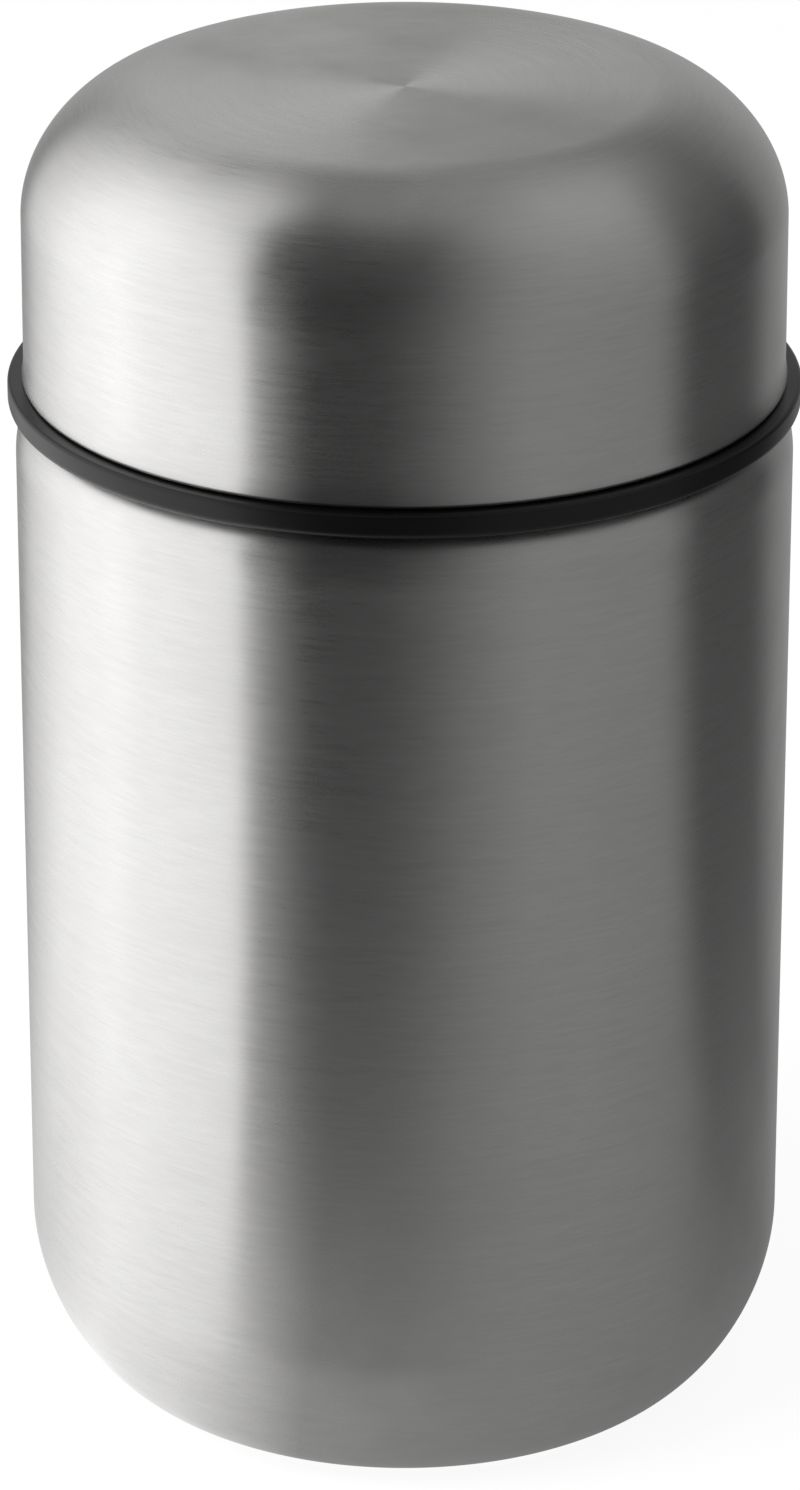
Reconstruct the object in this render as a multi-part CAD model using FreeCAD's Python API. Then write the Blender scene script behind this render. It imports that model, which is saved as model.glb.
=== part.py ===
import FreeCAD
import Part

import math
import os

# Insulated food jar: a round steel vacuum vessel with a rounded base and a short neck, a screw
# stopper with a push-button vent in the neck, and a domed steel lid that screws over both and
# stands on a black ring. Millimetres. +Z is up, the origin is the centre of the foot, and every
# piece is coaxial with Z. Each sub-part is one solid, written to parts/NODE.step.

# Body: the outer steel shell
body_radius = 47.5
shoulder_z = 129.5
shell_wall = 0.6
shoulder_drop = 6.5
shoulder_reach = 4.5
shoulder_fullness = 0.64
base_corner_height = 20.8
base_corner_reach = 13.5
base_corner_fullness = 0.477
foot_width = 3.0
foot_round = 0.8
foot_lip_height = 5.0

# Neck and mouth
shoulder_width = 7.0
neck_height = 20.5
neck_fillet = 1.5
neck_gap = 2.8
lip_inner_round = 1.5
lip_outer_round = 0.9
lip_skirt = 1.4

# Inner vessel, apart from the shell by the vacuum space
vessel_wall = 0.6
vacuum_gap = 4.0
vessel_floor_z = 9.0
vessel_corner = 13.4
vessel_shoulder_drop = 3.5
vessel_shoulder_height = 8.0
vessel_shoulder_round = 4.0

# Vacuum base, its seal and getter, and the cover pressed into the foot
base_top_z = 4.0
base_wall = 0.6
base_rim_height = 2.4
base_round = 1.0
dimple_radius = 6.0
dimple_slope = 2.5
dimple_depth = 1.6
evacuation_hole = 1.0
bead_radius = 2.6
bead_height = 1.1
getter_inner_radius = 8.6
getter_width = 3.0
getter_thickness = 1.4
holder_wall = 0.4
holder_height = 2.2
cover_inset = 0.8
cover_wall = 0.6
cover_rim_height = 1.8

# Lid ring
ring_height = 3.3
ring_proud = 0.85
ring_round = 0.5
ring_foot_round = 1.0
ring_lip_height = 2.8
ring_lip_width = 1.1

# Lid shell
lid_inset = 1.13
lid_taper = 0.16
lid_height = 36.5
lid_corner_height = 15.8
lid_corner_reach = 15.9
lid_corner_fullness = 0.52
lid_wall = 0.6
lid_flare = 0.3
lid_flare_height = 2.0
lid_flare_round = 12.0
lid_edge_round = 0.5
lid_flange_width = 2.6
crest_inset = 16.4
crest_round = 30.0
dish_depth = 0.4
dish_flat = 0.9
dish_fullness = 0.62

# Lid liner and the foam above it
thread_space = 1.8
liner_wall = 1.5
liner_corner = 11.0
liner_foot_height = 4.2
liner_foot_round = 0.5
foam_thickness = 1.5
lid_foam_inset = 4.3

# Stopper housing
stopper_depth = 22.0
stopper_thread_space = 1.9
stopper_wall = 2.0
stopper_floor = 2.0
stopper_round = 2.5
flange_thickness = 2.0
flange_round = 0.6
spigot_step = 0.1

# Stopper gasket
gasket_thickness = 1.8
gasket_inset = 0.3
gasket_round = 0.4

# Stopper cover with its two finger pockets and the grip bar between them
cover_rim_thickness = 2.4
cover_rim_inset = 1.5
cover_rim_round = 1.6
pocket_depth = 11.6
pocket_wall = 1.8
pocket_round = 1.5
grip_width = 24.0
grip_drop = 0.4
grip_round = 3.0
grip_wall = 1.8

# Vent: button, stem, spring, valve seal and retainer
button_radius = 7.9
button_proud = 0.8
button_top = 1.8
button_wall = 1.5
button_skirt = 8.2
button_round = 1.0
boss_wall = 1.6
ledge_thickness = 2.0
stem_radius = 2.4
stem_neck_radius = 1.5
stem_barb_radius = 1.9
stem_barb_height = 0.8
vent_bore = 3.2
vent_tube_wall = 2.0
tube_seal_thickness = 1.5
valve_radius = 6.5
valve_thickness = 1.6
valve_round = 0.5
retainer_radius = 4.0
retainer_thickness = 1.3
spring_radius = 4.6
spring_wire = 0.35
spring_turns = 6
spring_closed_pitch = 1.2

# Clearances
seat_gap = 0.1
side_gap = 0.3
shaft_gap = 0.1

# Radii and heights that follow from the sizes above
foot_radius = body_radius - base_corner_reach
foot_inner_radius = foot_radius - foot_width
neck_radius = body_radius - shoulder_width
lip_z = shoulder_z + neck_height
mouth_radius = neck_radius - shell_wall - neck_gap - vessel_wall
vessel_radius = body_radius - shell_wall - vacuum_gap - vessel_wall

lid_bottom_z = shoulder_z + ring_height
lid_radius = body_radius - lid_inset
lid_top_z = lid_bottom_z + lid_height
lid_shoulder_radius = lid_radius - lid_taper
crest_radius = lid_shoulder_radius - crest_inset
dish_radius = crest_radius / 2
dish_reach = dish_radius - dish_flat
dish_z = lid_top_z - dish_depth
liner_bore = neck_radius + thread_space
liner_bottom_z = lid_bottom_z + lid_wall + seat_gap
liner_top_z = dish_z - lid_wall - seat_gap - foam_thickness - seat_gap
ring_bore = liner_bore - side_gap
ring_lip_radius = ring_bore + ring_lip_width

stopper_bottom_z = lip_z - stopper_depth
stopper_radius = mouth_radius - stopper_thread_space
stopper_bore = stopper_radius - stopper_wall
spigot_radius = mouth_radius + spigot_step
flange_bottom_z = lip_z + seat_gap + gasket_thickness + seat_gap
flange_top_z = flange_bottom_z + flange_thickness
cover_top_z = flange_top_z + cover_rim_thickness
pocket_floor_z = cover_top_z - pocket_depth
cover_floor_z = pocket_floor_z - pocket_wall
pocket_outer_radius = stopper_bore - side_gap
pocket_radius = pocket_outer_radius - pocket_wall
housing_floor_z = stopper_bottom_z + stopper_floor
vent_tube_radius = vent_bore + vent_tube_wall
vent_tube_top_z = cover_floor_z - seat_gap - tube_seal_thickness - seat_gap

button_bore = button_radius + side_gap
boss_radius = button_bore + boss_wall
ledge_z = cover_floor_z + ledge_thickness
button_top_z = cover_top_z + button_proud
button_under_z = button_top_z - button_top
valve_top_z = stopper_bottom_z - seat_gap
valve_bottom_z = valve_top_z - valve_thickness
retainer_top_z = valve_bottom_z - seat_gap
retainer_bottom_z = retainer_top_z - retainer_thickness
barb_top_z = retainer_bottom_z - seat_gap


# Outlines are lists of corners (radius, height, rounding) in the half plane through the axis.
# A rounding is 0 for a sharp corner, a number for an arc, or (before, after, fullness) for a
# soft corner that leaves its two sides at those lengths from the corner.

def direction(start, end):
    length = math.hypot(end[0] - start[0], end[1] - start[1])
    return (end[0] - start[0]) / length, (end[1] - start[1]) / length


def turn_between(before, after):
    """Angle from one direction to the next, positive to the left."""
    cross = before[0] * after[1] - before[1] * after[0]
    along = before[0] * after[0] + before[1] * after[1]
    return math.atan2(cross, along)


def offset_path(path, distance):
    """An open path moved to its left by distance, with roundings that keep the wall even."""
    moved = []
    for index, (radius, height, rounding) in enumerate(path):
        first = index == 0
        last = index == len(path) - 1
        before = direction(path[index - 1], path[index]) if not first else None
        after = direction(path[index], path[index + 1]) if not last else None
        before = before or after
        after = after or before
        turn = turn_between(before, after)
        share = distance / (1 + math.cos(turn))
        across = (-(before[1] + after[1]) * share, (before[0] + after[0]) * share)
        if rounding:
            rounding = offset_rounding(rounding, turn, distance)
        moved.append((radius + across[0], height + across[1], rounding))
    return moved


def offset_rounding(rounding, turn, distance):
    """The rounding of a corner with this turn, once its sides have moved left by distance."""
    inward = math.copysign(distance, turn * distance)
    if isinstance(rounding, tuple):
        before, after, fullness = rounding
        shift = inward * math.tan(abs(turn) / 2)
        return before - shift, after - shift, fullness
    return max(rounding - inward, 0)


def backwards(path):
    """The path in the other direction, with the two lengths of each soft corner swapped."""
    corners = []
    for radius, height, rounding in reversed(path):
        if isinstance(rounding, tuple):
            before, after, fullness = rounding
            rounding = (after, before, fullness)
        corners.append((radius, height, rounding))
    return corners


def point(radius, height):
    return FreeCAD.Vector(radius, 0, height)


def corner_edge(corner, before, after):
    """The arc or soft curve that rounds one corner, or None where it is sharp."""
    radius, height, rounding = corner
    if not rounding:
        return None
    if isinstance(rounding, tuple):
        length_before, length_after, fullness = rounding
    else:
        length_before = rounding * math.tan(abs(turn_between(before, after)) / 2)
        length_after = length_before
    tip = point(radius, height)
    start = tip - point(*before) * length_before
    end = tip + point(*after) * length_after
    if isinstance(rounding, tuple):
        curve = Part.BezierCurve()
        curve.setPoles([start, start + (tip - start) * fullness, end + (tip - end) * fullness, end])
        return curve.toShape()
    middle = (start + end) * 0.5
    to_tip = tip - middle
    centre_distance = math.hypot(rounding, length_before)
    to_tip.normalize()
    crown = tip - to_tip * (centre_distance - rounding)
    return Part.Arc(start, crown, end).toShape()


def closed_wire(corners):
    """One closed wire through the corners, with straight sides between their roundings."""
    count = len(corners)
    pieces = []
    for index, corner in enumerate(corners):
        before = direction(corners[index - 1], corner)
        after = direction(corner, corners[(index + 1) % count])
        edge = corner_edge(corner, before, after)
        tip = point(corner[0], corner[1])
        start = edge.Vertexes[0].Point if edge else tip
        end = edge.Vertexes[-1].Point if edge else tip
        pieces.append((start, edge, end))
    edges = []
    for index, (start, edge, end) in enumerate(pieces):
        if edge:
            edges.append(edge)
        following = pieces[(index + 1) % count][0]
        if (following - end).Length > 1e-6:
            edges.append(Part.LineSegment(end, following).toShape())
    return Part.Wire(edges)


def turned(corners):
    """Solid of revolution about Z from a closed outline."""
    face = Part.Face(closed_wire(corners))
    return face.revolve(FreeCAD.Vector(0, 0, 0), FreeCAD.Vector(0, 0, 1), 360)


def walled(path, wall):
    """Turned sheet of even wall: material lies to the left of the path, or right if wall < 0."""
    return turned(path + backwards(offset_path(path, wall)))


def cylinder(radius, bottom, top):
    return Part.makeCylinder(radius, top - bottom, FreeCAD.Vector(0, 0, bottom))


# Jar body

def outer_shell():
    base_corner = (base_corner_reach, base_corner_height, base_corner_fullness)
    shoulder = (shoulder_drop, shoulder_reach, shoulder_fullness)
    return walled([
        (foot_inner_radius, foot_lip_height, 0),
        (foot_inner_radius, 0, foot_round),
        (body_radius, 0, base_corner),
        (body_radius, shoulder_z, shoulder),
        (neck_radius, shoulder_z, neck_fillet),
        (neck_radius, lip_z - lip_skirt, 0),
    ], shell_wall)


def inner_vessel():
    neck_start_z = shoulder_z - vessel_shoulder_drop
    return walled([
        (0, vessel_floor_z, 0),
        (vessel_radius, vessel_floor_z, vessel_corner),
        (vessel_radius, neck_start_z - vessel_shoulder_height, vessel_shoulder_round),
        (mouth_radius, neck_start_z, vessel_shoulder_round),
        (mouth_radius, lip_z, lip_inner_round),
        (neck_radius, lip_z, lip_outer_round),
        (neck_radius, lip_z - lip_skirt, 0),
    ], -vessel_wall)


def vacuum_base():
    rim_radius = foot_inner_radius - seat_gap
    return walled([
        (rim_radius, base_top_z - base_rim_height, 0),
        (rim_radius, base_top_z, base_round),
        (dimple_radius, base_top_z, base_round),
        (dimple_radius - dimple_slope, base_top_z - dimple_depth, base_wall),
        (evacuation_hole, base_top_z - dimple_depth, 0),
    ], base_wall)


def sealing_bead():
    floor = base_top_z - dimple_depth
    return turned([
        (0, floor, 0),
        (bead_radius, floor, 0),
        (bead_radius, floor + bead_height, base_wall),
        (0, floor + bead_height, 0),
    ])


def getter_holder():
    inside = getter_inner_radius - seat_gap - holder_wall
    outside = getter_inner_radius + getter_width + seat_gap + holder_wall
    return walled([
        (inside, base_top_z + holder_height, 0),
        (inside, base_top_z, 0),
        (outside, base_top_z, 0),
        (outside, base_top_z + holder_height, 0),
    ], holder_wall)


def getter():
    bottom = base_top_z + holder_wall + seat_gap
    return turned([
        (getter_inner_radius, bottom, 0),
        (getter_inner_radius + getter_width, bottom, 0),
        (getter_inner_radius + getter_width, bottom + getter_thickness, 0),
        (getter_inner_radius, bottom + getter_thickness, 0),
    ])


def base_cover():
    radius = foot_inner_radius - seat_gap - base_wall - seat_gap
    return walled([
        (0, cover_inset, 0),
        (radius, cover_inset, cover_wall + seat_gap),
        (radius, cover_inset + cover_rim_height, 0),
    ], cover_wall)


# Lid

def lid_seal_ring():
    bottom = shoulder_z + seat_gap
    top = lid_bottom_z - seat_gap
    radius = body_radius + ring_proud
    return turned([
        (ring_bore, bottom, 0),
        (radius, bottom, ring_foot_round),
        (radius, top, ring_round),
        (ring_lip_radius, top, 0),
        (ring_lip_radius, top + ring_lip_height, side_gap),
        (ring_bore, top + ring_lip_height, side_gap),
    ])


def lid_shell():
    lid_corner = (lid_corner_height, lid_corner_reach, lid_corner_fullness)
    return walled([
        (lid_radius - lid_flange_width, lid_bottom_z, 0),
        (lid_radius + lid_flare, lid_bottom_z, lid_edge_round),
        (lid_radius, lid_bottom_z + lid_flare_height, lid_flare_round),
        (lid_shoulder_radius, lid_top_z, lid_corner),
        (crest_radius, lid_top_z, crest_round),
        (dish_radius, dish_z, (dish_reach, dish_reach, dish_fullness)),
        (0, dish_z, 0),
    ], lid_wall)


def lid_liner():
    recess_radius = ring_lip_radius + side_gap
    recess_top_z = lid_bottom_z - seat_gap + ring_lip_height + side_gap
    foot_radius_outside = lid_radius - lid_wall - side_gap
    foot_top_z = liner_bottom_z + liner_foot_height
    outside = liner_bore + liner_wall
    return turned([
        (recess_radius, liner_bottom_z, 0),
        (foot_radius_outside, liner_bottom_z, liner_foot_round),
        (foot_radius_outside, foot_top_z, liner_foot_round),
        (outside, foot_top_z, liner_foot_round),
        (outside, liner_top_z, liner_corner + liner_wall),
        (0, liner_top_z, 0),
        (0, liner_top_z - liner_wall, 0),
        (liner_bore, liner_top_z - liner_wall, liner_corner),
        (liner_bore, recess_top_z, 0),
        (recess_radius, recess_top_z, 0),
    ])


def lid_foam():
    bottom = liner_top_z + seat_gap
    radius = crest_radius - lid_foam_inset
    return turned([
        (0, bottom, 0),
        (radius, bottom, 0),
        (radius, bottom + foam_thickness, 0),
        (0, bottom + foam_thickness, 0),
    ])


# Stopper

def stopper_gasket():
    bottom = lip_z + seat_gap
    inside = spigot_radius + side_gap
    outside = neck_radius - gasket_inset
    return turned([
        (inside, bottom, 0),
        (outside, bottom, gasket_round),
        (outside, bottom + gasket_thickness, gasket_round),
        (inside, bottom + gasket_thickness, 0),
    ])


def stopper_housing():
    return turned([
        (vent_bore, stopper_bottom_z, 0),
        (stopper_radius, stopper_bottom_z, stopper_round),
        (stopper_radius, lip_z, 0),
        (spigot_radius, lip_z, 0),
        (spigot_radius, flange_bottom_z, 0),
        (neck_radius, flange_bottom_z, 0),
        (neck_radius, flange_top_z, flange_round),
        (stopper_bore, flange_top_z, 0),
        (stopper_bore, housing_floor_z, stopper_wall),
        (vent_tube_radius, housing_floor_z, flange_round),
        (vent_tube_radius, vent_tube_top_z, 0),
        (vent_bore, vent_tube_top_z, 0),
    ])


def stopper_foam():
    bottom = housing_floor_z + seat_gap
    top = cover_floor_z - seat_gap
    outside = stopper_bore - side_gap
    inside = vent_tube_radius + flange_round + seat_gap
    return turned([
        (inside, bottom, 0),
        (outside, bottom, stopper_wall),
        (outside, top, 0),
        (inside, top, 0),
    ])


def vent_tube_seal():
    bottom = vent_tube_top_z + seat_gap
    return turned([
        (vent_bore, bottom, 0),
        (vent_tube_radius, bottom, 0),
        (vent_tube_radius, bottom + tube_seal_thickness, 0),
        (vent_bore, bottom + tube_seal_thickness, 0),
    ])


def grip_block(width, rounding, reach, bottom, top):
    """Bar along Y with rounded upper edges, ended by a cylinder of radius reach."""
    half = width / 2
    section = Part.Face(closed_wire([
        (-half, bottom, 0),
        (half, bottom, 0),
        (half, top, rounding),
        (-half, top, rounding),
    ]))
    section.translate(FreeCAD.Vector(0, -reach, 0))
    bar = section.extrude(FreeCAD.Vector(0, 2 * reach, 0))
    return bar.common(cylinder(reach, bottom, top))


def stopper_cover():
    rim_radius = neck_radius - cover_rim_inset
    dish = turned([
        (0, cover_floor_z, 0),
        (pocket_outer_radius, cover_floor_z, stopper_wall),
        (pocket_outer_radius, flange_top_z, 0),
        (rim_radius, flange_top_z, 0),
        (rim_radius, cover_top_z, cover_rim_round),
        (pocket_radius, cover_top_z, cover_rim_round / 2),
        (pocket_radius, pocket_floor_z, pocket_round),
        (0, pocket_floor_z, 0),
    ])
    grip_top = cover_top_z - grip_drop
    bar = grip_block(grip_width, grip_round, pocket_radius + pocket_wall / 2,
                     cover_floor_z + pocket_wall / 2, grip_top)
    hollow = grip_block(grip_width - 2 * grip_wall, grip_round - grip_wall,
                        pocket_radius - grip_wall, cover_floor_z, grip_top - grip_wall)
    hollow = hollow.cut(cylinder(boss_radius, cover_floor_z, cover_top_z))
    bore = cylinder(button_bore, ledge_z, button_top_z)
    guide = cylinder(stem_radius + shaft_gap, cover_floor_z, ledge_z)
    return dish.fuse(bar).cut(hollow).cut(bore).cut(guide).removeSplitter()


# Vent

def vent_button():
    skirt_bottom = button_top_z - button_skirt
    inside = button_radius - button_wall
    return turned([
        (0, button_top_z, 0),
        (0, button_under_z, 0),
        (inside, button_under_z, 0),
        (inside, skirt_bottom, 0),
        (button_radius, skirt_bottom, 0),
        (button_radius, button_top_z, button_round),
    ])


def vent_stem():
    barb_bottom = barb_top_z - stem_barb_height
    return turned([
        (0, barb_bottom, 0),
        (stem_neck_radius, barb_bottom, 0),
        (stem_barb_radius, barb_top_z, 0),
        (stem_neck_radius, barb_top_z, 0),
        (stem_neck_radius, valve_top_z + seat_gap / 2, 0),
        (stem_radius, valve_top_z + seat_gap / 2, 0),
        (stem_radius, button_under_z - seat_gap / 2, 0),
        (0, button_under_z - seat_gap / 2, 0),
    ])


def vent_valve_seal():
    inside = stem_neck_radius + shaft_gap
    return turned([
        (inside, valve_bottom_z, 0),
        (valve_radius, valve_bottom_z, valve_round),
        (valve_radius, valve_top_z, 0),
        (inside, valve_top_z, 0),
    ])


def vent_retainer():
    inside = stem_neck_radius + shaft_gap
    return turned([
        (inside, retainer_bottom_z, 0),
        (retainer_radius, retainer_bottom_z, valve_round),
        (retainer_radius, retainer_top_z, 0),
        (inside, retainer_top_z, 0),
    ])


def spring_rise(quarter):
    """Height that the spring climbs over one quarter turn, less in the closed turn at each end."""
    quarters = 4 * spring_turns
    if quarter < 4 or quarter >= quarters - 4:
        return spring_closed_pitch / 4
    climb = button_under_z - ledge_z - 2 * (seat_gap + spring_wire)
    return (climb - 2 * spring_closed_pitch) / (quarters - 8)


def spring_route():
    """Points a quarter turn apart along the spring, each with its tangent."""
    height = ledge_z + seat_gap + spring_wire
    route = []
    for quarter in range(4 * spring_turns + 1):
        angle = quarter * math.pi / 2
        slope = (spring_rise(max(quarter - 1, 0)) + spring_rise(quarter)) / math.pi
        tangent = FreeCAD.Vector(-math.sin(angle), math.cos(angle), slope / spring_radius)
        tangent.normalize()
        radial = FreeCAD.Vector(math.cos(angle), math.sin(angle), 0)
        route.append((radial * spring_radius + FreeCAD.Vector(0, 0, height), tangent))
        height += spring_rise(quarter)
    return route


def arc_through_corner(start, corner, end):
    """Arc from start to end, tangent to the two equal legs that meet at the corner."""
    middle = (start + end) * 0.5
    half = (end - start).Length / 2
    depth = (corner - middle).Length
    sag = half * math.tan(math.atan2(depth, half) / 2)
    return Part.Arc(start, middle + (corner - middle) * (sag / depth), end)


def biarc(start, start_tangent, end, end_tangent):
    """Two arcs that meet smoothly and leave the two points along their tangents."""
    chord = end - start
    both = start_tangent + end_tangent
    spread = 2 * (1 - start_tangent.dot(end_tangent))
    along = chord.dot(both)
    leg = (math.sqrt(along * along + spread * chord.dot(chord)) - along) / spread
    first_corner = start + start_tangent * leg
    second_corner = end - end_tangent * leg
    joint = (first_corner + second_corner) * 0.5
    return [arc_through_corner(start, first_corner, joint),
            arc_through_corner(joint, second_corner, end)]


def least_turn_gap(arcs, steps=6):
    """Least clear distance between one turn's wire and the next, from points on the arcs."""
    per_turn = 8 * steps
    points = []
    for arc in arcs:
        first = arc.FirstParameter
        span = arc.LastParameter - first
        points += [arc.value(first + span * step / steps) for step in range(steps)]
    return min((points[index] - points[other]).Length
               for index in range(len(points) - per_turn // 2)
               for other in range(index + per_turn // 2, min(index + 2 * per_turn, len(points)))
               ) - 2 * spring_wire


def vent_spring():
    """Compression spring with closed ends, from the ledge to the underside of the button."""
    route = spring_route()
    arcs = []
    for (start, start_tangent), (end, end_tangent) in zip(route, route[1:]):
        arcs += biarc(start, start_tangent, end, end_tangent)
    print("vent_spring least gap between turns", round(least_turn_gap(arcs), 2))
    place, tangent = route[0]
    circle = Part.Wire(Part.Circle(place, tangent, spring_wire).toShape())
    path = Part.Wire([arc.toShape() for arc in arcs])
    return path.makePipeShell([circle], True, False)


nodes = [
    outer_shell, inner_vessel, vacuum_base, sealing_bead, getter_holder, getter, base_cover,
    lid_seal_ring, lid_shell, lid_liner, lid_foam,
    stopper_gasket, stopper_housing, stopper_foam, stopper_cover,
    vent_tube_seal, vent_button, vent_stem, vent_spring, vent_valve_seal, vent_retainer,
]

os.makedirs("parts", exist_ok=True)
for make in nodes:
    solid = make().Solids[0]
    print(make.__name__, "valid", solid.isValid(), "volume", round(solid.Volume, 1))
    solid.exportStep(os.path.join("parts", make.__name__ + ".step"))
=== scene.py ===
import math
import bpy
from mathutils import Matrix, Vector


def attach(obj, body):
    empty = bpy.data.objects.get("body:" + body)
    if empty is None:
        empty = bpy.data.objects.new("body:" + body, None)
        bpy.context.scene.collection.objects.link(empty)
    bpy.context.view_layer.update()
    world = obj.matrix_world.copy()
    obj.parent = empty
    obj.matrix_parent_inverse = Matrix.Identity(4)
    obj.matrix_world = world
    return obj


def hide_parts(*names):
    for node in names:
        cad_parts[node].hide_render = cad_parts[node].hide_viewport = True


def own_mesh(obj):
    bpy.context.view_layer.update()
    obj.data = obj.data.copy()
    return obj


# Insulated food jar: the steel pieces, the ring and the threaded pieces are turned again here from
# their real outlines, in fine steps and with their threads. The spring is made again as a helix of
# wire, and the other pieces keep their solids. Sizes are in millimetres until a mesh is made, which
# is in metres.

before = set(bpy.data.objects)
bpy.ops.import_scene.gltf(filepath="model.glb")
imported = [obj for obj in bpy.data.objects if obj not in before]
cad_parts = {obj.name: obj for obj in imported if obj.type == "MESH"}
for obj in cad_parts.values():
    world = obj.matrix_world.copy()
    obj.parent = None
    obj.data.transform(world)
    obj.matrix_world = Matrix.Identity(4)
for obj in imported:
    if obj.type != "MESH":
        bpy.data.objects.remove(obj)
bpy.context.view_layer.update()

MM = 0.001
TURN = 2 * math.pi

# Body and neck
body_radius = 47.5
shoulder_z = 129.5
shell_wall = 0.6
shoulder_drop = 6.5
shoulder_reach = 4.5
shoulder_fullness = 0.64
base_corner_height = 20.8
base_corner_reach = 13.5
base_corner_fullness = 0.477
foot_width = 3.0
foot_round = 0.8
foot_lip_height = 5.0
shoulder_width = 7.0
neck_height = 20.5
neck_fillet = 1.5
neck_gap = 2.8
lip_inner_round = 1.5
lip_outer_round = 0.9
lip_skirt = 1.4
vessel_wall = 0.6
vacuum_gap = 4.0
vessel_floor_z = 9.0
vessel_corner = 13.4
vessel_shoulder_drop = 3.5
vessel_shoulder_height = 8.0
vessel_shoulder_round = 4.0

# Lid and ring
ring_height = 3.3
ring_proud = 0.85
ring_round = 0.5
ring_foot_round = 1.0
ring_lip_height = 2.8
ring_lip_width = 1.1
lid_inset = 1.13
lid_taper = 0.16
lid_height = 36.5
lid_corner_height = 15.8
lid_corner_reach = 15.9
lid_corner_fullness = 0.52
lid_wall = 0.6
lid_flare = 0.3
lid_flare_height = 2.0
lid_flare_round = 12.0
lid_edge_round = 0.5
lid_flange_width = 2.6
crest_inset = 16.4
crest_round = 30.0
dish_depth = 0.4
dish_flat = 0.9
dish_fullness = 0.62
thread_space = 1.8
liner_wall = 1.5
liner_corner = 11.0
liner_foot_height = 4.2
liner_foot_round = 0.5
foam_thickness = 1.5

# Stopper
stopper_depth = 22.0
stopper_thread_space = 1.9
stopper_wall = 2.0
stopper_floor = 2.0
stopper_round = 2.5
flange_thickness = 2.0
flange_round = 0.6
spigot_step = 0.1
gasket_thickness = 1.8
cover_rim_thickness = 2.4
pocket_depth = 11.6
pocket_wall = 1.8
tube_seal_thickness = 1.5
button_proud = 0.8
button_top = 1.8
ledge_thickness = 2.0
spring_radius = 4.6
spring_wire = 0.35
spring_turns = 6
spring_closed_pitch = 1.2
vent_bore = 3.2
vent_tube_wall = 2.0

# Threads
thread_pitch = 4.0
thread_width = 2.4
thread_height = 0.8
thread_turns = 1.75
thread_fade = 0.12

# Clearances
seat_gap = 0.1
side_gap = 0.3

# Fineness of the meshes: sides round the axis, longest step of an outline, and the angles in
# degrees above which an edge is drawn sharp
outer_segments = 384
inner_segments = 256
plastic_segments = 192
threaded_step = 0.6
dome_step = 3.0
lathe_edge_angle = 32
spring_edge_angle = 50

# Places that follow
foot_radius = body_radius - base_corner_reach
foot_inner_radius = foot_radius - foot_width
neck_radius = body_radius - shoulder_width
lip_z = shoulder_z + neck_height
mouth_radius = neck_radius - shell_wall - neck_gap - vessel_wall
vessel_radius = body_radius - shell_wall - vacuum_gap - vessel_wall
lid_bottom_z = shoulder_z + ring_height
lid_radius = body_radius - lid_inset
lid_top_z = lid_bottom_z + lid_height
lid_shoulder_radius = lid_radius - lid_taper
crest_radius = lid_shoulder_radius - crest_inset
dish_radius = crest_radius / 2
dish_reach = dish_radius - dish_flat
dish_z = lid_top_z - dish_depth
liner_bore = neck_radius + thread_space
liner_bottom_z = lid_bottom_z + lid_wall + seat_gap
liner_top_z = dish_z - lid_wall - seat_gap - foam_thickness - seat_gap
ring_bore = liner_bore - side_gap
ring_lip_radius = ring_bore + ring_lip_width
stopper_bottom_z = lip_z - stopper_depth
stopper_radius = mouth_radius - stopper_thread_space
stopper_bore = stopper_radius - stopper_wall
spigot_radius = mouth_radius + spigot_step
flange_bottom_z = lip_z + seat_gap + gasket_thickness + seat_gap
flange_top_z = flange_bottom_z + flange_thickness
housing_floor_z = stopper_bottom_z + stopper_floor
cover_top_z = flange_top_z + cover_rim_thickness
cover_floor_z = cover_top_z - pocket_depth - pocket_wall
vent_tube_radius = vent_bore + vent_tube_wall
vent_tube_top_z = cover_floor_z - seat_gap - tube_seal_thickness - seat_gap
spring_bottom_z = cover_floor_z + ledge_thickness + seat_gap
spring_top_z = cover_top_z + button_proud - button_top - seat_gap

# Camera: where the photograph was taken from, and its focal length in pixels of an 800 x 1490 image
camera_place = (-0.55, -782.95, 424.7)
camera_pitch = 23.586
focal_pixels = 6847.8
image_height = 1490
sensor_mm = 36


# Outlines: corners are (radius, height, rounding), and a rounding is 0, an arc's radius, or
# (before, after, fullness) for a soft corner.

def direction(start, end):
    step = Vector((end[0] - start[0], end[1] - start[1]))
    return step.normalized()


def turn_between(before, after):
    return math.atan2(before.x * after.y - before.y * after.x, before.dot(after))


def offset_path(path, distance):
    """The open path moved to its left by distance, with roundings that keep the wall even."""
    moved = []
    for index, (radius, height, rounding) in enumerate(path):
        before = direction(path[index - 1], path[index]) if index else None
        after = direction(path[index], path[index + 1]) if index + 1 < len(path) else None
        before = before or after
        after = after or before
        turn = turn_between(before, after)
        share = distance / (1 + math.cos(turn))
        if rounding:
            rounding = offset_rounding(rounding, turn, distance)
        moved.append((radius - (before.y + after.y) * share,
                      height + (before.x + after.x) * share, rounding))
    return moved


def offset_rounding(rounding, turn, distance):
    """The rounding of a corner with this turn, once its sides have moved left by distance."""
    inward = math.copysign(distance, turn * distance)
    if isinstance(rounding, tuple):
        before, after, fullness = rounding
        shift = inward * math.tan(abs(turn) / 2)
        return before - shift, after - shift, fullness
    return max(rounding - inward, 0)


def backwards(path):
    """The path in the other direction, with the two lengths of each soft corner swapped."""
    corners = []
    for radius, height, rounding in reversed(path):
        if isinstance(rounding, tuple):
            before, after, fullness = rounding
            rounding = (after, before, fullness)
        corners.append((radius, height, rounding))
    return corners


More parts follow.
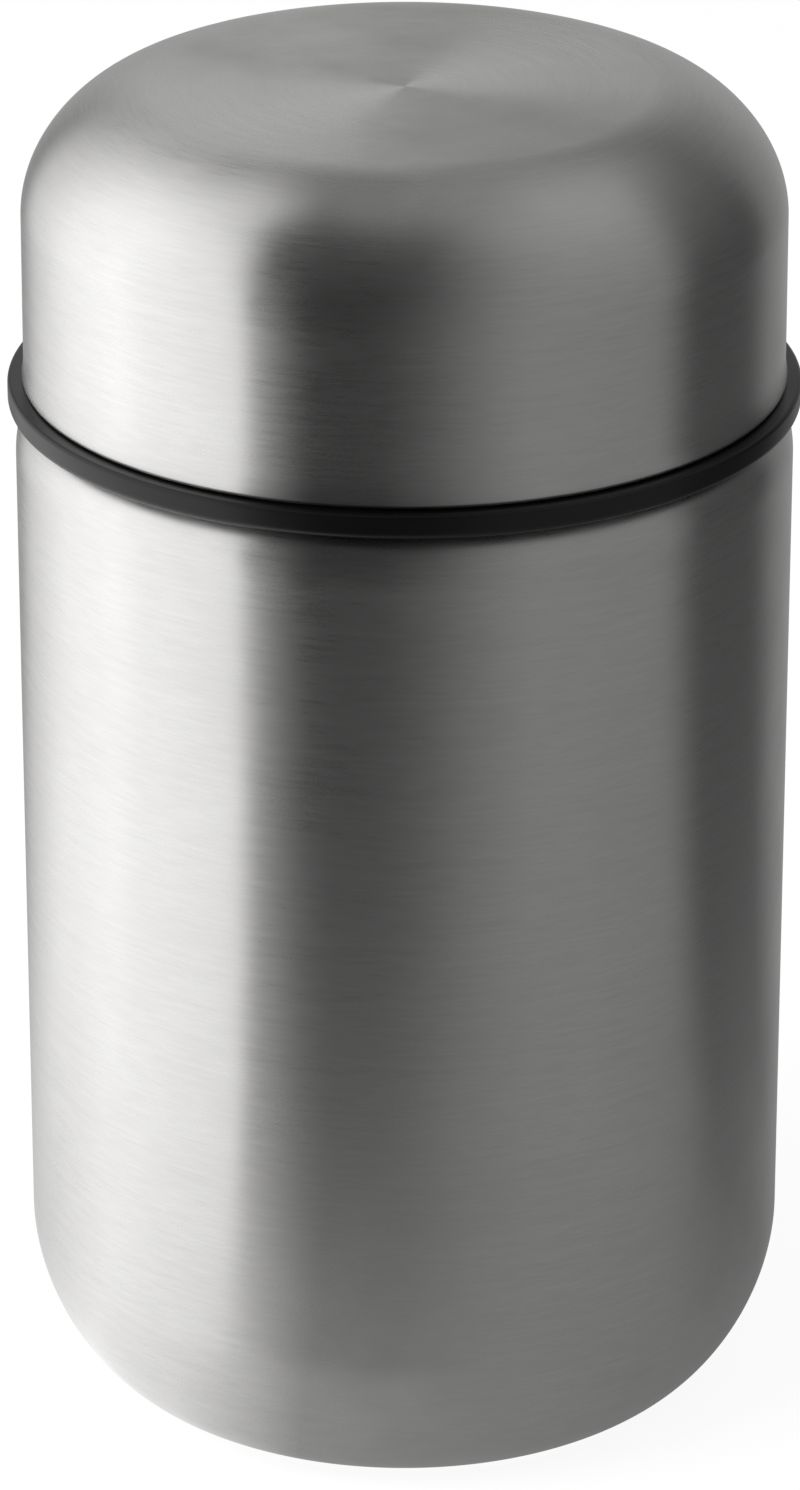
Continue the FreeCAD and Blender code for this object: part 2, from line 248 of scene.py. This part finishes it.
def corner_points(corner, before, after, steps=14):
    """Points along the rounding of one corner, or the corner itself where it is sharp."""
    tip = Vector(corner[:2])
    rounding = corner[2]
    if not rounding:
        return [tip]
    if isinstance(rounding, tuple):
        start = tip - before * rounding[0]
        end = tip + after * rounding[1]
        fullness = rounding[2]
        poles = (start, start.lerp(tip, fullness), end.lerp(tip, fullness), end)
        return [bezier(poles, step / (3 * steps)) for step in range(3 * steps + 1)]
    turn = turn_between(before, after)
    reach = rounding * math.tan(abs(turn) / 2)
    start = tip - before * reach
    side = Vector((-before.y, before.x)) * math.copysign(rounding, turn)
    centre = start + side
    points = []
    for step in range(steps + 1):
        angle = turn * step / steps
        arm = -side
        points.append(centre + Vector((arm.x * math.cos(angle) - arm.y * math.sin(angle),
                                       arm.x * math.sin(angle) + arm.y * math.cos(angle))))
    return points


def bezier(poles, t):
    a, b, c, d = poles
    s = 1 - t
    return a * s ** 3 + b * 3 * s * s * t + c * 3 * s * t * t + d * t ** 3


def outline(corners, longest=None):
    """Points round a closed outline, with straight sides cut to steps of at most longest."""
    count = len(corners)
    points = []
    for index, corner in enumerate(corners):
        before = direction(corners[index - 1], corner)
        after = direction(corner, corners[(index + 1) % count])
        points += corner_points(corner, before, after)
    if longest is None:
        return points
    filled = []
    for index, point in enumerate(points):
        following = points[(index + 1) % len(points)]
        steps = max(1, math.ceil((following - point).length / longest))
        filled += [point.lerp(following, step / steps) for step in range(steps)]
    return filled


def walled(path, wall):
    """Closed outline of an even wall to the left of the path, or to its right if wall < 0."""
    return path + backwards(offset_path(path, wall))


class Thread:
    """A helical ridge on the stretch of an outline between two radii and two heights."""

    def __init__(self, radii, bottom, height):
        self.radii = radii
        self.bottom = bottom
        self.height = height

    def holds(self, point):
        low, high = self.radii
        top = self.bottom + thread_pitch * thread_turns + thread_width
        return low <= point.x <= high and self.bottom - thread_width <= point.y <= top

    def rise(self, angle, z):
        total = 0
        for lap in range(math.ceil(thread_turns)):
            along = (angle + TURN * lap) / TURN
            if along > thread_turns:
                continue
            off = abs(z - self.bottom - thread_pitch * along) / (thread_width / 2)
            ends = min(along, thread_turns - along) / thread_fade
            if off < 1:
                total += math.cos(off * math.pi / 2) ** 2 * min(1, ends)
        return total * self.height


def add_piece(name, vertices, faces, body, material, replaces, edge_angle):
    """A smooth piece that rides on a CAD body and stands for a CAD node."""
    mesh = bpy.data.meshes.new(name)
    mesh.from_pydata(vertices, [], faces)
    mesh.polygons.foreach_set("use_smooth", [True] * len(mesh.polygons))
    mesh.set_sharp_from_angle(angle=math.radians(edge_angle))
    mesh.materials.append(material)
    piece = bpy.data.objects.new(name, mesh)
    bpy.context.scene.collection.objects.link(piece)
    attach(piece, body)
    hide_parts(replaces)
    return piece


def lathe(name, points, body, material, replaces, segments, thread=None):
    """A closed solid turned about Z from an outline in millimetres, riding on a CAD body."""
    rings = []
    vertices = []
    for point in points:
        if point.x < 1e-4:
            rings.append([len(vertices)])
            vertices.append((0, 0, point.y * MM))
            continue
        ring = range(len(vertices), len(vertices) + segments)
        rings.append(list(ring))
        threaded = thread is not None and thread.holds(point)
        for step in range(segments):
            angle = TURN * step / segments
            radius = point.x + (thread.rise(angle, point.y) if threaded else 0)
            vertices.append((radius * math.cos(angle) * MM, radius * math.sin(angle) * MM,
                             point.y * MM))
    faces = []
    for index, ring in enumerate(rings):
        following = rings[(index + 1) % len(rings)]
        if len(ring) == 1 and len(following) == 1:
            continue
        for step in range(segments):
            after = (step + 1) % segments
            if len(ring) == 1:
                faces.append((ring[0], following[after], following[step]))
            elif len(following) == 1:
                faces.append((ring[step], ring[after], following[0]))
            else:
                faces.append((ring[step], ring[after], following[after], following[step]))
    return add_piece(name, vertices, faces, body, material, replaces, lathe_edge_angle)


# Materials, with the depths of the steel's relief in millimetres

hairline_depth = 0.0005
pit_depth = 0.003


class Nodes:
    """A material's node tree, with short calls to add and join nodes."""

    def __init__(self, name):
        self.material = bpy.data.materials.new(name)
        self.material.use_nodes = True
        self.tree = self.material.node_tree
        self.shader = self.tree.nodes["Principled BSDF"]

    def add(self, kind, settings=None, **inputs):
        node = self.tree.nodes.new(kind)
        for key, value in (settings or {}).items():
            setattr(node, key, value)
        for key, value in inputs.items():
            self.feed(node, key.replace("_", " "), value)
        return node

    def feed(self, node, socket, value):
        target = node.inputs[int(socket) if socket.isdigit() else socket]
        if isinstance(value, bpy.types.NodeSocket):
            self.tree.links.new(value, target)
        else:
            target.default_value = value

    def math(self, operation, first, second=0.0):
        node = self.tree.nodes.new("ShaderNodeMath")
        node.operation = operation
        self.feed(node, "0", first)
        self.feed(node, "1", second)
        return node.outputs[0]

    def scaled(self, value, low, high, source_low=0.0, source_high=1.0):
        node = self.add("ShaderNodeMapRange", None, Value=value)
        node.inputs["From Min"].default_value = source_low
        node.inputs["From Max"].default_value = source_high
        node.inputs["To Min"].default_value = low
        node.inputs["To Max"].default_value = high
        return node.outputs[0]

    def noise(self, vector, scale, detail=4.0, roughness=0.6):
        node = self.add("ShaderNodeTexNoise", None, Vector=vector, Scale=scale, Detail=detail,
                        Roughness=roughness)
        return node.outputs["Fac"]

    def blend(self, factor, first, second):
        node = self.add("ShaderNodeMix", {"data_type": "RGBA"})
        self.tree.links.new(factor, node.inputs[0])
        node.inputs[6].default_value = (*first, 1)
        node.inputs[7].default_value = (*second, 1)
        return node.outputs[2]

    def bump(self, height, strength, distance):
        node = self.add("ShaderNodeBump", None, Height=height, Strength=strength,
                        Distance=distance)
        self.tree.links.new(node.outputs[0], self.shader.inputs["Normal"])


def turned_coordinates(nodes, along, across):
    """Coordinates that change slowly round the axis and fast along the turned outline."""
    place = nodes.add("ShaderNodeTexCoord").outputs["Object"]
    axes = nodes.add("ShaderNodeSeparateXYZ", None, Vector=place).outputs
    squared = nodes.math("ADD", nodes.math("MULTIPLY", axes[0], axes[0]),
                         nodes.math("MULTIPLY", axes[1], axes[1]))
    profile = nodes.math("SUBTRACT", axes[2], nodes.math("SQRT", squared))
    return nodes.add("ShaderNodeCombineXYZ", None,
                     X=nodes.math("MULTIPLY", axes[0], along),
                     Y=nodes.math("MULTIPLY", axes[1], along),
                     Z=nodes.math("MULTIPLY", profile, across)).outputs[0]


def brushed_steel(name, tone, roughness, anisotropy, wave_depth=0.05):
    """Steel brushed round its axis: fine hairlines, fainter bands and a slow waviness."""
    nodes = Nodes(name)
    hairlines = nodes.noise(turned_coordinates(nodes, 220, 2600), 1.0, 3.0, 0.6)
    bands = nodes.noise(turned_coordinates(nodes, 30, 900), 1.0, 2.0, 0.5)
    place = nodes.add("ShaderNodeTexCoord").outputs["Object"]
    waves = nodes.noise(place, 42, 1.0, 0.4)
    pits = nodes.scaled(nodes.noise(place, 2600, 1.0, 0.4), 0.0, 1.0, 0.74, 0.80)
    grain = nodes.math("ADD", nodes.math("MULTIPLY", hairlines, 0.7),
                       nodes.math("MULTIPLY", bands, 0.3))
    low = tuple(channel * 0.93 for channel in tone)
    high = tuple(channel * 1.06 for channel in tone)
    colour = nodes.blend(nodes.scaled(grain, 0.0, 1.0, 0.3, 0.7), low, high)
    shader = nodes.shader
    nodes.tree.links.new(colour, shader.inputs["Base Color"])
    cloudy = nodes.math("ADD", nodes.math("MULTIPLY", grain, 0.5),
                        nodes.math("MULTIPLY", nodes.noise(place, 75, 3.0, 0.6), 0.5))
    nodes.tree.links.new(nodes.scaled(cloudy, roughness - 0.05, roughness + 0.05, 0.35, 0.65),
                         shader.inputs["Roughness"])
    shader.inputs["Metallic"].default_value = 1.0
    shader.inputs["Anisotropic"].default_value = anisotropy
    shader.inputs["Anisotropic Rotation"].default_value = 0.25
    tangent = nodes.add("ShaderNodeTangent", {"direction_type": "RADIAL", "axis": "Z"})
    nodes.tree.links.new(tangent.outputs[0], shader.inputs["Tangent"])
    relief = nodes.math("ADD", nodes.math("MULTIPLY", hairlines, hairline_depth),
                        nodes.math("MULTIPLY", waves, wave_depth))
    relief = nodes.math("SUBTRACT", relief, nodes.math("MULTIPLY", pits, pit_depth))
    nodes.bump(relief, 1.0, MM)
    return nodes.material


def moulded(name, tone, roughness, specular=0.5, grain=900, depth=0.02):
    """Moulded plastic or rubber: a fine grain, slight cloudiness and a soft sheen."""
    nodes = Nodes(name)
    nodes.shader.inputs["Specular IOR Level"].default_value = specular
    place = nodes.add("ShaderNodeTexCoord").outputs["Object"]
    fine = nodes.noise(place, grain, 3.0, 0.6)
    cloud = nodes.noise(place, 45, 2.0, 0.5)
    low = tuple(channel * 0.85 for channel in tone)
    high = tuple(channel * 1.18 for channel in tone)
    nodes.tree.links.new(nodes.blend(cloud, low, high), nodes.shader.inputs["Base Color"])
    nodes.tree.links.new(nodes.scaled(cloud, roughness - 0.06, roughness + 0.06, 0.3, 0.7),
                         nodes.shader.inputs["Roughness"])
    nodes.bump(fine, 0.3, depth * MM)
    return nodes.material


lid_steel = brushed_steel("lid_steel", (0.625, 0.62, 0.612), 0.29, 0.93)
shell_steel = brushed_steel("shell_steel", (0.625, 0.62, 0.612), 0.29, 0.93)
vessel_steel = brushed_steel("vessel_steel", (0.58, 0.58, 0.57), 0.30, 0.6, 0.02)
ring_rubber = moulded("ring_rubber", (0.002, 0.002, 0.0021), 0.28, 0.35)
liner_plastic = moulded("liner_plastic", (0.022, 0.022, 0.023), 0.38)
stopper_plastic = moulded("stopper_plastic", (0.024, 0.024, 0.025), 0.42)
button_plastic = moulded("button_plastic", (0.30, 0.31, 0.32), 0.40)
silicone = moulded("silicone", (0.62, 0.62, 0.60), 0.45)
foam = moulded("foam", (0.80, 0.78, 0.72), 0.90, 0.3, 700, 0.2)
bead_glass = moulded("bead_glass", (0.50, 0.56, 0.54), 0.12)
getter_metal = moulded("getter_metal", (0.21, 0.21, 0.22), 0.80)
spring_steel = brushed_steel("spring_steel", (0.55, 0.55, 0.55), 0.20, 0.5, 0.0)


def lid_path():
    lid_corner = (lid_corner_height, lid_corner_reach, lid_corner_fullness)
    return [
        (lid_radius - lid_flange_width, lid_bottom_z, 0),
        (lid_radius + lid_flare, lid_bottom_z, lid_edge_round),
        (lid_radius, lid_bottom_z + lid_flare_height, lid_flare_round),
        (lid_shoulder_radius, lid_top_z, lid_corner),
        (crest_radius, lid_top_z, crest_round),
        (dish_radius, dish_z, (dish_reach, dish_reach, dish_fullness)),
        (0, dish_z, 0),
    ]


def make_lid():
    lathe("lid_dome", outline(walled(lid_path(), lid_wall), dome_step), "lid",
          lid_steel, segments=outer_segments, replaces="lid_shell")
    recess_radius = ring_lip_radius + side_gap
    recess_top_z = lid_bottom_z - seat_gap + ring_lip_height + side_gap
    foot_outside = lid_radius - lid_wall - side_gap
    foot_top_z = liner_bottom_z + liner_foot_height
    outside = liner_bore + liner_wall
    ceiling_z = liner_top_z - liner_wall
    liner = outline([
        (recess_radius, liner_bottom_z, 0),
        (foot_outside, liner_bottom_z, liner_foot_round),
        (foot_outside, foot_top_z, liner_foot_round),
        (outside, foot_top_z, liner_foot_round),
        (outside, liner_top_z, liner_corner + liner_wall),
        (0, liner_top_z, 0),
        (0, ceiling_z, 0),
        (liner_bore, ceiling_z, liner_corner),
        (liner_bore, recess_top_z, 0),
        (recess_radius, recess_top_z, 0),
    ], 0.3)
    thread = Thread((liner_bore - 0.01, liner_bore + 0.01), recess_top_z + thread_width,
                    -thread_height)
    lathe("lid_bowl_liner", liner, "lid", liner_plastic, segments=plastic_segments,
          thread=thread, replaces="lid_liner")


def make_ring():
    bottom = shoulder_z + seat_gap
    top = lid_bottom_z - seat_gap
    radius = body_radius + ring_proud
    lathe("lid_rubber_ring", outline([
        (ring_bore, bottom, 0),
        (radius, bottom, ring_foot_round),
        (radius, top, ring_round),
        (ring_lip_radius, top, 0),
        (ring_lip_radius, top + ring_lip_height, side_gap),
        (ring_bore, top + ring_lip_height, side_gap),
    ]), "lid_ring", ring_rubber, segments=outer_segments, replaces="lid_seal_ring")


def make_body():
    shell = [
        (foot_inner_radius, foot_lip_height, 0),
        (foot_inner_radius, 0, foot_round),
        (body_radius, 0, (base_corner_reach, base_corner_height, base_corner_fullness)),
        (body_radius, shoulder_z, (shoulder_drop, shoulder_reach, shoulder_fullness)),
        (neck_radius, shoulder_z, neck_fillet),
        (neck_radius, lip_z - lip_skirt, 0),
    ]
    lathe("jar_shell", outline(walled(shell, shell_wall), threaded_step), "jar",
          shell_steel, segments=outer_segments, replaces="outer_shell",
          thread=Thread((neck_radius - 1, neck_radius + 0.1), shoulder_z + neck_fillet
                        + thread_width, thread_height))
    neck_start_z = shoulder_z - vessel_shoulder_drop
    vessel = [
        (0, vessel_floor_z, 0),
        (vessel_radius, vessel_floor_z, vessel_corner),
        (vessel_radius, neck_start_z - vessel_shoulder_height, vessel_shoulder_round),
        (mouth_radius, neck_start_z, vessel_shoulder_round),
        (mouth_radius, lip_z, lip_inner_round),
        (neck_radius, lip_z, lip_outer_round),
        (neck_radius, lip_z - lip_skirt, 0),
    ]
    lathe("food_vessel", outline(walled(vessel, -vessel_wall), threaded_step), "jar",
          vessel_steel, segments=inner_segments, replaces="inner_vessel",
          thread=Thread((mouth_radius - 0.1, mouth_radius + 1), neck_start_z
                        + thread_width + 3, -thread_height))


def make_stopper():
    housing = outline([
        (vent_bore, stopper_bottom_z, 0),
        (stopper_radius, stopper_bottom_z, stopper_round),
        (stopper_radius, lip_z, 0),
        (spigot_radius, lip_z, 0),
        (spigot_radius, flange_bottom_z, 0),
        (neck_radius, flange_bottom_z, 0),
        (neck_radius, flange_top_z, flange_round),
        (stopper_bore, flange_top_z, 0),
        (stopper_bore, housing_floor_z, stopper_wall),
        (vent_tube_radius, housing_floor_z, flange_round),
        (vent_tube_radius, vent_tube_top_z, 0),
        (vent_bore, vent_tube_top_z, 0),
    ], 0.4)
    thread = Thread((stopper_radius - 0.01, stopper_radius + 0.01),
                    stopper_bottom_z + stopper_round + thread_width, thread_height)
    lathe("stopper_threaded_housing", housing, "stopper", stopper_plastic,
          segments=plastic_segments, thread=thread, replaces="stopper_housing")


def spring_height(turn):
    """Height of the wire's centre after this many turns, with a closed turn at each end."""
    climb = spring_top_z - spring_bottom_z - 2 * spring_wire
    open_pitch = (climb - 2 * spring_closed_pitch) / (spring_turns - 2)
    closed = min(turn, 1) + max(turn - spring_turns + 1, 0)
    rise = closed * spring_closed_pitch + (turn - closed) * open_pitch
    return spring_bottom_z + spring_wire + rise


def make_spring():
    """The vent's spring, drawn at one length; the real spring shortens as the button is pressed."""
    per_turn = 40
    sides = 10
    count = spring_turns * per_turn + 1
    vertices = []
    for step in range(count):
        angle = TURN * step / per_turn
        height = spring_height(step / per_turn)
        for side in range(sides):
            round_wire = TURN * side / sides
            radius = spring_radius + spring_wire * math.cos(round_wire)
            vertices.append((radius * math.cos(angle) * MM, radius * math.sin(angle) * MM,
                             (height + spring_wire * math.sin(round_wire)) * MM))
    faces = [tuple(range(sides)), tuple(reversed(range((count - 1) * sides, count * sides)))]
    for step in range(count - 1):
        for side in range(sides):
            after = (side + 1) % sides
            start = step * sides
            faces.append((start + after, start + side, start + sides + side,
                          start + sides + after))
    spring = add_piece("pressed_spring", vertices, faces, "stopper", spring_steel,
                       "vent_spring", spring_edge_angle)
    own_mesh(spring)


make_body()
make_ring()
make_lid()
make_stopper()
make_spring()

for node, material in {
    "vacuum_base": vessel_steel, "getter_holder": vessel_steel, "base_cover": shell_steel,
    "sealing_bead": bead_glass, "getter": getter_metal,
    "stopper_gasket": silicone, "vent_tube_seal": silicone, "vent_valve_seal": silicone,
    "stopper_cover": stopper_plastic, "stopper_foam": foam, "lid_foam": foam,
    "vent_button": button_plastic, "vent_stem": button_plastic, "vent_retainer": button_plastic,
}.items():
    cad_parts[node].data.materials.clear()
    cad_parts[node].data.materials.append(material)


# Studio: a white floor, soft lamps, and a surround of pale and dark cards that only reflections see

white_level = 1.0
floor_glow = 1.1
floor_shade = 0.2
floor_half = 4.0
ambient_level = 0.4
lamp_size = 0.8
lamp_aim = Vector((0, 0, 0.09))


def studio_material(name, shade):
    """White to the camera and in reflections, but still shaded by the lamps in part."""
    nodes = Nodes(name)
    tree = nodes.tree
    path = nodes.add("ShaderNodeLightPath").outputs
    seen = nodes.math("MAXIMUM", path["Is Camera Ray"],
                      nodes.math("MAXIMUM", path["Is Glossy Ray"], path["Is Transmission Ray"]))
    glow = nodes.add("ShaderNodeEmission")
    glow.inputs["Color"].default_value = (1, 1, 1, 1)
    glow.inputs["Strength"].default_value = floor_glow
    plain = nodes.add("ShaderNodeBsdfDiffuse")
    plain.inputs["Color"].default_value = (0.9, 0.9, 0.9, 1)
    mix = nodes.add("ShaderNodeMixShader")
    tree.links.new(nodes.math("MULTIPLY", seen, 1 - shade), mix.inputs[0])
    tree.links.new(plain.outputs[0], mix.inputs[1])
    tree.links.new(glow.outputs[0], mix.inputs[2])
    tree.links.new(mix.outputs[0], tree.nodes["Material Output"].inputs["Surface"])
    return nodes.material


def make_floor():
    mesh = bpy.data.meshes.new("floor")
    half = floor_half
    mesh.from_pydata([(-half, -half, 0), (half, -half, 0), (half, half, 0), (-half, half, 0)],
                     [], [(0, 1, 2, 3)])
    mesh.materials.append(studio_material("floor_white", floor_shade))
    floor = bpy.data.objects.new("floor", mesh)
    bpy.context.scene.collection.objects.link(floor)


# Cards round the jar, from azimuth to azimuth in degrees, with the brightness at each end. Zero is
# towards the camera and 90 to its right, and neighbours blend into each other.
near_floor = [
    ("floor, left rear", -180, -135, 0.50, 0.64),
    ("floor, left", -105, -75, 0.90, 1.30),
    ("floor, left front", -70, -48, 1.25, 1.05),
    ("floor, front", -20, 15, 0.42, 0.32),
    ("floor, right", 40, 100, 0.28, 0.23),
    ("floor, right rear", 110, 180, 0.27, 0.48),
]
far_floor = [
    ("floor, left rear", -180, -145, 0.48, 0.50),
    ("floor, left", -115, -85, 1.25, 1.50),
    ("floor, left front", -80, -43, 1.40, 1.18),
    ("floor, softbox spill", -41, -27, 0.46, 0.16),
    ("floor, front", -20, 0, 0.12, 0.17),
    ("floor, right front", 15, 50, 0.26, 0.30),
    ("floor, right", 60, 80, 0.28, 0.26),
    ("floor, shaded by the flag", 92, 118, 0.13, 0.16),
    ("floor, right rear", 135, 180, 0.32, 0.50),
]
lower_wall = [
    ("back wall, left", -180, -148, 0.60, 0.29),
    ("left softbox, outer part", -138, -110, 0.80, 1.42),
    ("left softbox, middle", -110, -86, 1.42, 1.60),
    ("left softbox, inner part", -80, -45, 1.44, 1.20),
    ("spill beside the softbox", -43, -31, 0.42, 0.10),
    ("dark studio behind the camera", -26, -6, 0.04, 0.05),
    ("fill card, near edge", 8, 24, 0.12, 0.25),
    ("fill card", 34, 76, 0.31, 0.28),
    ("black flag", 88, 118, 0.08, 0.08),
    ("back wall, right", 130, 162, 0.24, 0.42),
    ("back wall, middle", 166, 180, 0.44, 0.50),
]
upper_wall = [
    ("back wall, left", -180, -150, 0.62, 0.52),
    ("left softbox, outer part", -132, -110, 0.85, 1.35),
    ("left softbox, middle", -105, -84, 1.48, 1.52),
    ("left softbox, inner part", -80, -53, 1.48, 1.24),
    ("dark studio behind the camera", -46, 6, 0.06, 0.05),
    ("fill card, near edge", 20, 40, 0.17, 0.30),
    ("fill card", 50, 85, 0.36, 0.40),
    ("above the black flag", 98, 130, 0.19, 0.16),
    ("back wall, right", 142, 162, 0.18, 0.20),
    ("back wall, middle", 170, 180, 0.24, 0.40),
]
ceiling = [
    ("left rear", -180, -140, 0.20, 0.28),
    ("top of the softbox", -112, -70, 0.98, 0.90),
    ("front", -57, 9, 0.04, 0.09),
    ("right", 42, 100, 0.37, 0.52),
    ("rear", 110, 180, 0.46, 0.28),
]
zenith = [("overhead", -180, 180, 0.33, 0.33)]

# Each ring of the surround: its radius and height in metres, and its cards
card_rings = [
    (0.03, 0.0006, near_floor),
    (0.075, 0.0006, near_floor),
    (0.15, 0.0006, far_floor),
    (0.30, 0.0006, lower_wall),
    (0.30, 0.20, lower_wall),
    (0.27, 0.35, upper_wall),
    (0.22, 0.44, ceiling),
    (0.16, 0.51, ceiling),
    (0.10, 0.54, zenith),
    (0.01, 0.56, zenith),
]


def level_at(cards, azimuth):
    following = cards[1:] + cards[:1]
    for (name, start, end, low, high), after in zip(cards, following):
        if start <= azimuth <= end:
            return low + (high - low) * (azimuth - start) / (end - start)
        if end < azimuth < after[1]:
            return high + (after[3] - high) * (azimuth - end) / (after[1] - end)
    return cards[-1][4]


def make_surround():
    steps = 180
    vertices = []
    levels = []
    for radius, height, cards in card_rings:
        for step in range(steps):
            azimuth = -180 + 360 * step / steps
            angle = math.radians(azimuth)
            vertices.append((radius * math.sin(angle), -radius * math.cos(angle), height))
            levels.append(level_at(cards, azimuth))
    faces = []
    for ring in range(len(card_rings) - 1):
        for step in range(steps):
            after = (step + 1) % steps
            start = ring * steps
            faces.append((start + step, start + after, start + steps + after,
                          start + steps + step))
    mesh = bpy.data.meshes.new("reflection_cards")
    mesh.from_pydata(vertices, [], faces)
    attribute = mesh.attributes.new("card_level", "FLOAT", "POINT")
    attribute.data.foreach_set("value", levels)
    nodes = Nodes("card_glow")
    level = nodes.add("ShaderNodeAttribute", {"attribute_name": "card_level"})
    glow = nodes.add("ShaderNodeEmission", None, Strength=level.outputs["Fac"])
    nodes.tree.links.new(glow.outputs[0], nodes.tree.nodes["Material Output"].inputs["Surface"])
    mesh.materials.append(nodes.material)
    cards = bpy.data.objects.new("reflection_cards", mesh)
    bpy.context.scene.collection.objects.link(cards)
    cards.visible_camera = False
    cards.visible_diffuse = False
    cards.visible_shadow = False
    cards.visible_transmission = False
    cards.visible_volume_scatter = False


def make_lamp(name, place, power):
    lamp = bpy.data.lights.new(name, "AREA")
    lamp.shape = "SQUARE"
    lamp.size = lamp_size
    lamp.energy = power
    thing = bpy.data.objects.new(name, lamp)
    thing.location = place
    thing.rotation_euler = (lamp_aim - Vector(place)).to_track_quat("-Z", "Y").to_euler()
    thing.visible_glossy = False
    bpy.context.scene.collection.objects.link(thing)


def make_world():
    world = bpy.data.worlds.new("studio")
    bpy.context.scene.world = world
    world.use_nodes = True
    tree = world.node_tree
    background = tree.nodes["Background"]
    path = tree.nodes.new("ShaderNodeLightPath")
    seen = tree.nodes.new("ShaderNodeMath")
    seen.operation = "MAXIMUM"
    also = tree.nodes.new("ShaderNodeMath")
    also.operation = "MAXIMUM"
    tree.links.new(path.outputs["Is Glossy Ray"], also.inputs[0])
    tree.links.new(path.outputs["Is Transmission Ray"], also.inputs[1])
    tree.links.new(path.outputs["Is Camera Ray"], seen.inputs[0])
    tree.links.new(also.outputs[0], seen.inputs[1])
    level = tree.nodes.new("ShaderNodeMapRange")
    level.inputs["To Min"].default_value = ambient_level
    level.inputs["To Max"].default_value = white_level
    tree.links.new(seen.outputs[0], level.inputs["Value"])
    background.inputs["Color"].default_value = (1, 1, 1, 1)
    tree.links.new(level.outputs[0], background.inputs["Strength"])


def make_camera():
    lens = bpy.data.cameras.new("camera")
    lens.sensor_width = sensor_mm
    lens.lens = focal_pixels * sensor_mm / image_height
    camera = bpy.data.objects.new("camera", lens)
    camera.location = Vector(camera_place) * MM
    camera.rotation_euler = (math.radians(90 - camera_pitch), 0, 0)
    bpy.context.scene.collection.objects.link(camera)
    bpy.context.scene.camera = camera


make_floor()
make_surround()
make_lamp("left_softbox", (-0.8, -0.45, 0.7), 9)
make_lamp("right_softbox", (0.9, -0.5, 0.6), 4)
make_world()
make_camera()
bpy.context.scene.view_settings.view_transform = "Standard"
